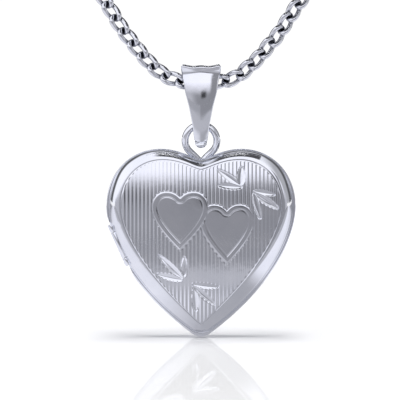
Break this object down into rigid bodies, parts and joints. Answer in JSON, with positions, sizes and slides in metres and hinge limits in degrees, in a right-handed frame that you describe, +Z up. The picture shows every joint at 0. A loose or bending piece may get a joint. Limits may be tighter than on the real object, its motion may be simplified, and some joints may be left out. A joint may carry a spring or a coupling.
{
  "type": "heart locket pendant on chain",
  "caption": "Heart-shaped silver locket that opens on a side hinge to hold two small pictures, hung by a ring and tapered bail from a curb chain.",
  "frame": {"origin": "on the chain's centreline at its lowest point, in the middle of the bail's eye", "axes": "+X to the right seen from the front, +Z up, the engraved front faces -Y"},
  "size_m": [0.0302, 0.0041, 0.0457],
  "materials": {
    "polished_silver": "rhodium plated sterling silver, mirror polished, with an engraved satin panel",
    "chain_silver": "rhodium plated sterling silver, polished, darkened between the links",
    "steel": "fine steel wire",
    "clear_window": "clear acetate sheet",
    "card": "plain matt card"
  },
  "bodies": {
    "chain": {"chain": "chain_silver", "end_ring_left": "chain_silver", "end_ring_right": "chain_silver", "clasp_body": "polished_silver", "clasp_pin": "steel", "clasp_spring": "steel"},
    "bail": {"bail": "polished_silver"},
    "back_half": {"back_shell": "polished_silver", "back_frame": "polished_silver", "back_window": "clear_window", "back_photo_card": "card", "hinge_knuckle_upper": "polished_silver", "hinge_knuckle_lower": "polished_silver", "hinge_pin": "steel", "catch_tongue": "polished_silver", "hanging_ring": "polished_silver"},
    "front_half": {"front_shell": "polished_silver", "front_frame": "polished_silver", "front_window": "clear_window", "front_photo_card": "card", "hinge_knuckle_middle": "polished_silver"},
    "clasp_lever": {"clasp_lever": "polished_silver"}
  },
  "joints": [
    {"name": "bail_swing", "type": "hinge", "parent": "chain", "child": "bail", "pos_m": [0, 0, 0], "axis": [1, 0, 0], "range_deg": [-60, 60]},
    {"name": "locket_swing", "type": "hinge", "parent": "bail", "child": "back_half", "pos_m": [0, 0, -0.00448], "axis": [1, 0, 0], "range_deg": [-50, 50]},
    {"name": "cover_hinge", "type": "hinge", "parent": "back_half", "child": "front_half", "pos_m": [-0.00859, 0, -0.01711], "axis": [0.4121, 0, -0.9112], "range_deg": [0, 155]},
    {"name": "clasp_lever_pivot", "type": "hinge", "parent": "chain", "child": "clasp_lever", "pos_m": [0.01372, 0, 0.01501], "axis": [0, 1, 0], "range_deg": [0, 18], "stiffness_Nm_per_rad": 0.0002, "springref_deg": -20.05, "deforming": ["clasp_spring"]}
  ]
}
